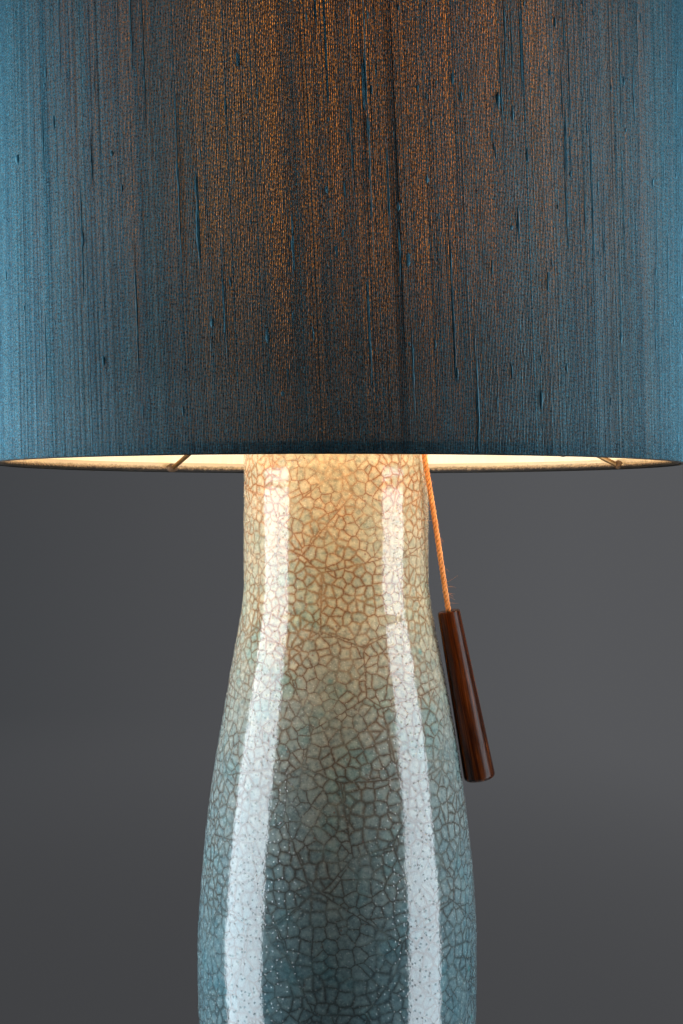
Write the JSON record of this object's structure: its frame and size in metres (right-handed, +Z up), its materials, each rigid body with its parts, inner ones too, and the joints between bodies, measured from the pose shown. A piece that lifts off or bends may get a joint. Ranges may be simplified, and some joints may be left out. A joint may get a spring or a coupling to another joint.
{
  "type": "table lamp",
  "caption": "Table lamp with a bottle-shaped crackle-glazed ceramic body, a drum shade in slubbed silk and a cord pull with a turned wooden handle.",
  "frame": {"origin": "middle of the foot, on the surface that the lamp stands on", "axes": "+Z up the lamp's axis; +X to the side that the cord pull hangs on; -Y to the front"},
  "size_m": [0.4, 0.4, 0.7605],
  "materials": {
    "crackle_glaze": "glossy glaze with brown crackle lines, cream at the neck and turquoise lower down",
    "felt": "pressed wool felt",
    "black_rubber": "matt rubber",
    "plated_steel": "zinc-plated steel",
    "aged_brass": "aged satin brass",
    "wire_insulation": "flex insulation",
    "porcelain": "unglazed porcelain",
    "orange_cord": "twisted cotton cord",
    "rosewood": "oiled dark wood with straight grain",
    "bulb_glass": "pearl glass",
    "bulb_cap_metal": "rolled aluminium screw cap",
    "bulb_insulator": "black vitrified insulator",
    "clear_glass": "clear glass",
    "filament": "tungsten wire",
    "brass_wire": "brass-washed wire",
    "cream_liner": "matt laminate",
    "slub_silk": "raw silk with slubs, shot teal over brown",
    "hem_silk": "folded silk"
  },
  "bodies": {
    "base": {"ceramic_body": "crackle_glaze", "foot_felt": "felt", "cord_outlet_bushing": "black_rubber", "bottom_washer": "plated_steel", "bottom_nut": "plated_steel", "lamp_pipe": "plated_steel", "neck_gasket": "black_rubber", "neck_cap": "aged_brass", "neck_lock_nut": "aged_brass", "holder_spacer": "aged_brass", "lead_wires": "wire_insulation", "holder_cap": "aged_brass", "holder_set_screw": "plated_steel", "holder_insert": "porcelain", "terminal_screws": "aged_brass", "screw_shell": "aged_brass", "centre_contact": "aged_brass", "holder_shell": "aged_brass", "shade_rest_ring": "aged_brass", "shade_ring_nut": "aged_brass", "cord_guide": "aged_brass", "guide_elbow": "aged_brass", "guide_mouth": "aged_brass", "guide_nut": "aged_brass", "lever_pin": "plated_steel", "return_spring": "plated_steel"},
    "shade": {"fitter_ring": "brass_wire", "fitter_arms": "brass_wire", "shade_bottom_ring": "brass_wire", "shade_top_ring": "brass_wire", "shade_liner": "cream_liner", "liner_seam": "cream_liner", "silk_cover": "slub_silk", "bottom_hem": "hem_silk", "top_hem": "hem_silk"},
    "bulb": {"bulb_glass": "bulb_glass", "bulb_base": "bulb_cap_metal", "bulb_contact": "bulb_insulator", "bulb_stem": "clear_glass", "bulb_filament": "filament"},
    "cord_run": {"guide_cord": "orange_cord"},
    "pull": {"pull_cord": "orange_cord", "cord_knot": "orange_cord", "wooden_pull": "rosewood"},
    "lever": {"switch_lever": "plated_steel"}
  },
  "joints": [
    {"name": "pull_slide", "type": "slide", "parent": "base", "child": "cord_run", "axis": [0.1534, 0.1534, -0.9762], "range_m": [0, 0.008], "stiffness_N_per_m": 400, "springref_m": -0.006, "deforming": ["guide_cord", "return_spring"]},
    {"name": "pull_swing", "type": "hinge", "parent": "cord_run", "child": "pull", "pos_m": [0.0447, -0.0315, 0.489], "axis": [-0.2402, -0.9707, 0], "range_deg": [0, 20]},
    {"name": "lever_turn", "type": "hinge", "parent": "base", "child": "lever", "pos_m": [0.00388, -0.00315, 0.49566], "axis": [0.6309, 0.7759, 0], "range_deg": [0, 48]},
    {"name": "shade_turn", "type": "hinge", "parent": "base", "child": "shade", "pos_m": [0, 0, 0.5261], "axis": [0, 0, 1], "continuous": true},
    {"name": "bulb_lift", "type": "slide", "parent": "base", "child": "bulb", "axis": [0, 0, 1], "range_m": [0, 0.12]}
  ],
  "couplings": [
    {"joint": "lever_turn", "follows": "pull_slide", "rad_per_m": 98}
  ]
}
